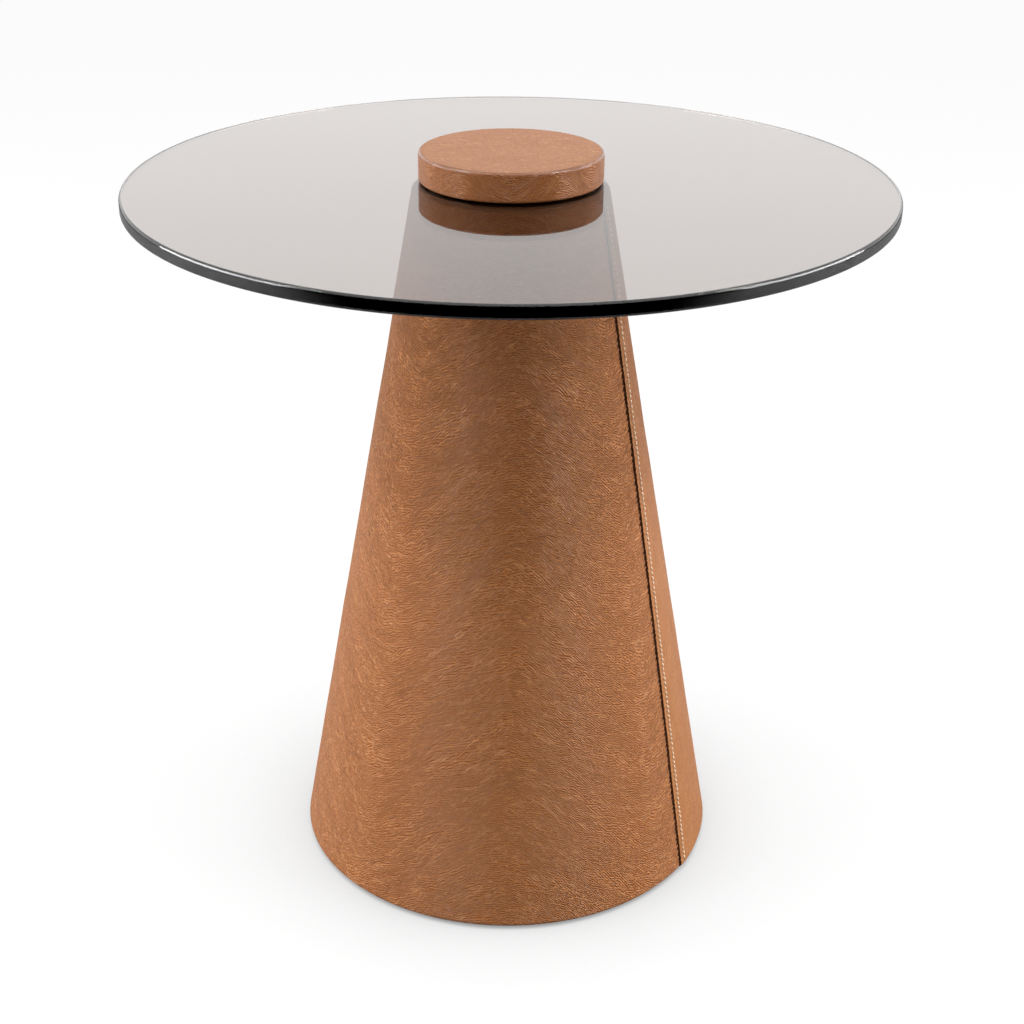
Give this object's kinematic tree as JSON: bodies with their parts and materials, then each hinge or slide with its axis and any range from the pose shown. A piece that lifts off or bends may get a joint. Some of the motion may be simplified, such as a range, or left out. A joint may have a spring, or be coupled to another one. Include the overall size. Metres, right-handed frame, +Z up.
{
  "type": "round side table",
  "caption": "Round side table: smoked glass disc on a leather-wrapped cone, clamped by a leather-wrapped disc cap that unscrews so that the glass lifts off.",
  "frame": {"origin": "on the floor, on the axis of the cone, midway between the glides' undersides", "axes": "+Z up along the cone's axis; -Y is the front seen in the picture; +X is to the right, where the cover's lapped seam lies 26 to 33 degrees forward of +X"},
  "size_m": [0.56, 0.56, 0.5675],
  "materials": {
    "leather": "tan leather with a fine wrinkled grain and a soft satin sheen",
    "thread": "pale waxed thread",
    "plywood": "raw birch plywood and softwood",
    "fibreboard": "raw medium-density fibreboard",
    "steel": "zinc-plated steel",
    "ballast": "matt black painted steel",
    "nylon": "black nylon",
    "felt": "dark pressed felt",
    "dust_cloth": "black non-woven cloth",
    "rubber": "soft black rubber",
    "glass": "smoked grey toughened glass with a polished dark edge"
  },
  "bodies": {
    "pedestal": {"ballast_plate": "ballast", "ballast_screw_1": "steel", "ballast_screw_2": "steel", "ballast_screw_3": "steel", "ballast_screw_4": "steel", "bottom_disc": "plywood", "cone_skin": "plywood", "dust_cover": "dust_cloth", "flange_screw_1": "steel", "flange_screw_2": "steel", "flange_screw_3": "steel", "flange_screw_4": "steel", "glide_1": "nylon", "glide_2": "nylon", "glide_3": "nylon", "glide_4": "nylon", "glide_screw_1": "steel", "glide_screw_2": "steel", "glide_screw_3": "steel", "glide_screw_4": "steel", "leather_cover": "leather", "lower_batten_1": "plywood", "lower_batten_2": "plywood", "lower_batten_3": "plywood", "lower_batten_4": "plywood", "lower_gasket": "rubber", "middle_rib": "plywood", "seam_thread": "thread", "stud_flange": "steel", "top_disc": "plywood", "upper_batten_1": "plywood", "upper_batten_2": "plywood", "upper_batten_3": "plywood", "upper_batten_4": "plywood"},
    "glass_top": {"glass_top": "glass", "hole_sleeve": "nylon"},
    "slip_washer": {"slip_washer": "nylon"},
    "cap": {"cap_core": "fibreboard", "cap_leather": "leather", "cap_insert": "steel", "insert_screw_1": "steel", "insert_screw_2": "steel", "insert_screw_3": "steel", "cap_felt": "felt"}
  },
  "joints": [
    {"name": "glass_lift", "type": "slide", "parent": "pedestal", "child": "glass_top", "axis": [0, 0, 1], "range_m": [0, 0.04]},
    {"name": "cap_rise", "type": "slide", "parent": "glass_top", "child": "slip_washer", "axis": [0, 0, 1], "range_m": [0, 0.0105]},
    {"name": "cap_turn", "type": "hinge", "parent": "slip_washer", "child": "cap", "pos_m": [0, 0, 0.56], "axis": [0, 0, 1], "range_deg": [0, 2520]}
  ],
  "couplings": [
    {"joint": "cap_rise", "follows": "cap_turn", "m_per_rad": 0.00023873}
  ]
}
